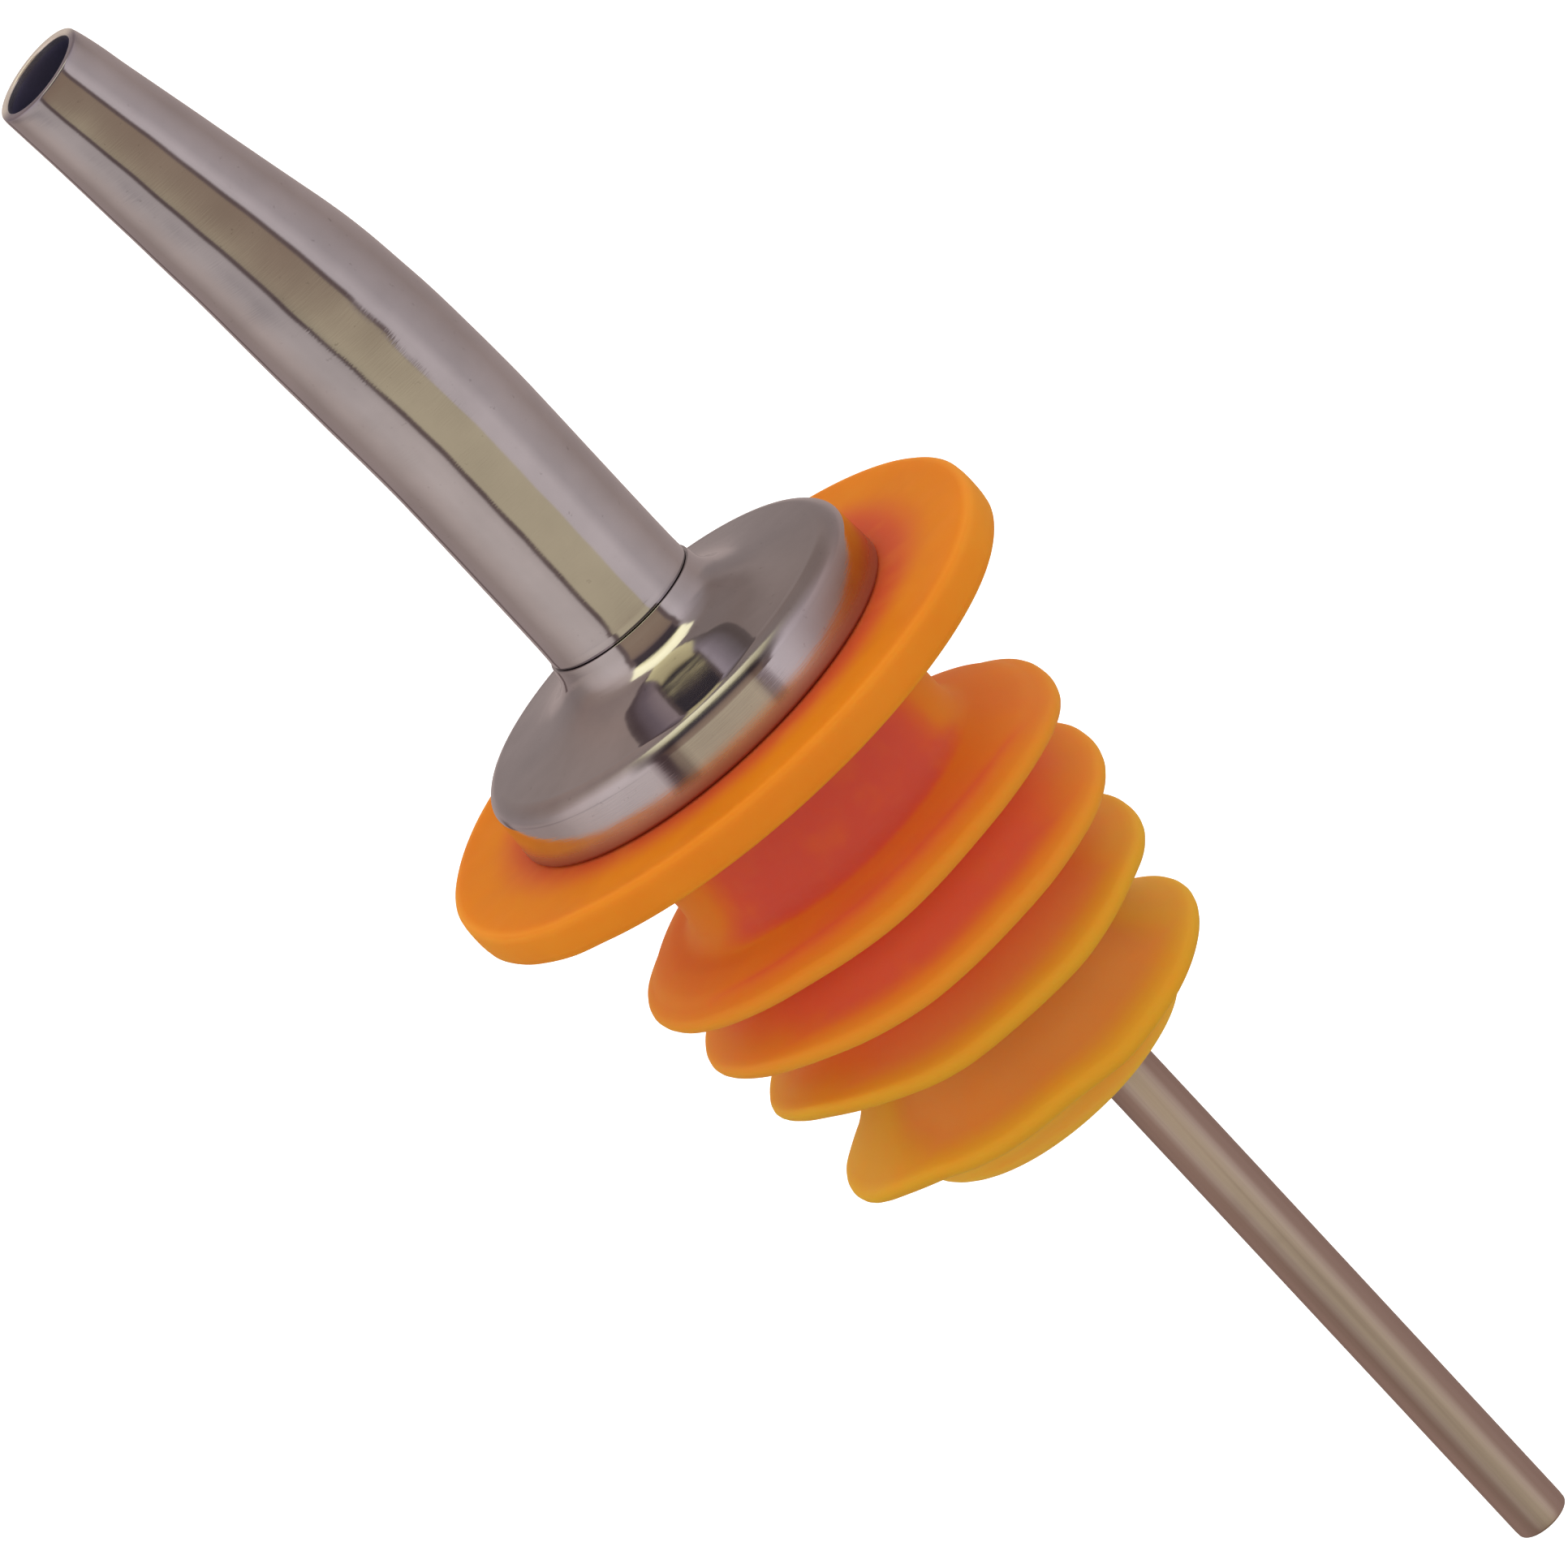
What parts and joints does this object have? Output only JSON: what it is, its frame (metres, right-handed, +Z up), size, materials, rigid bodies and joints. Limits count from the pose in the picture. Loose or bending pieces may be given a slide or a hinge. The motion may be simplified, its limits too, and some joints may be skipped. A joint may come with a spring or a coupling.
{
  "type": "liquor pour spout",
  "caption": "Free-flow bottle pourer: bent, tapered metal spout and round collar on a ribbed soft stopper, with a thin breather tube running down into the bottle.",
  "frame": {"origin": "centre of the flat underside of the stopper's flange, where the lip of the bottle bears, on the stopper's axis", "axes": "+Z up along the stopper's axis towards the spout; the spout leans to -X; the breather tube lies on the +X side; Y is normal to the plane of the bend"},
  "size_m": [0.0339, 0.034, 0.1112],
  "materials": {
    "soft_plastic": "soft translucent orange moulded plastic, satin, redder where thick and yellower at the thin fin edges",
    "chrome_plate": "polished bright plating",
    "shank_steel": "plain drawn tube",
    "tube_steel": "drawn steel tube with fine lengthwise lines",
    "solder": "dull soft-solder grey"
  },
  "bodies": {
    "stopper_body": {"stopper": "soft_plastic"},
    "collar_body": {"collar": "chrome_plate"},
    "spout_body": {"spout": "chrome_plate", "shank": "shank_steel", "breather_tube": "tube_steel", "solder_saddle": "solder"}
  },
  "joints": [
    {"name": "metalwork_pull", "type": "slide", "parent": "stopper_body", "child": "collar_body", "axis": [0, 0, 1], "range_m": [0, 0.066]},
    {"name": "spout_turn", "type": "hinge", "parent": "collar_body", "child": "spout_body", "pos_m": [0, 0, 0], "axis": [0, 0, 1], "continuous": true}
  ]
}
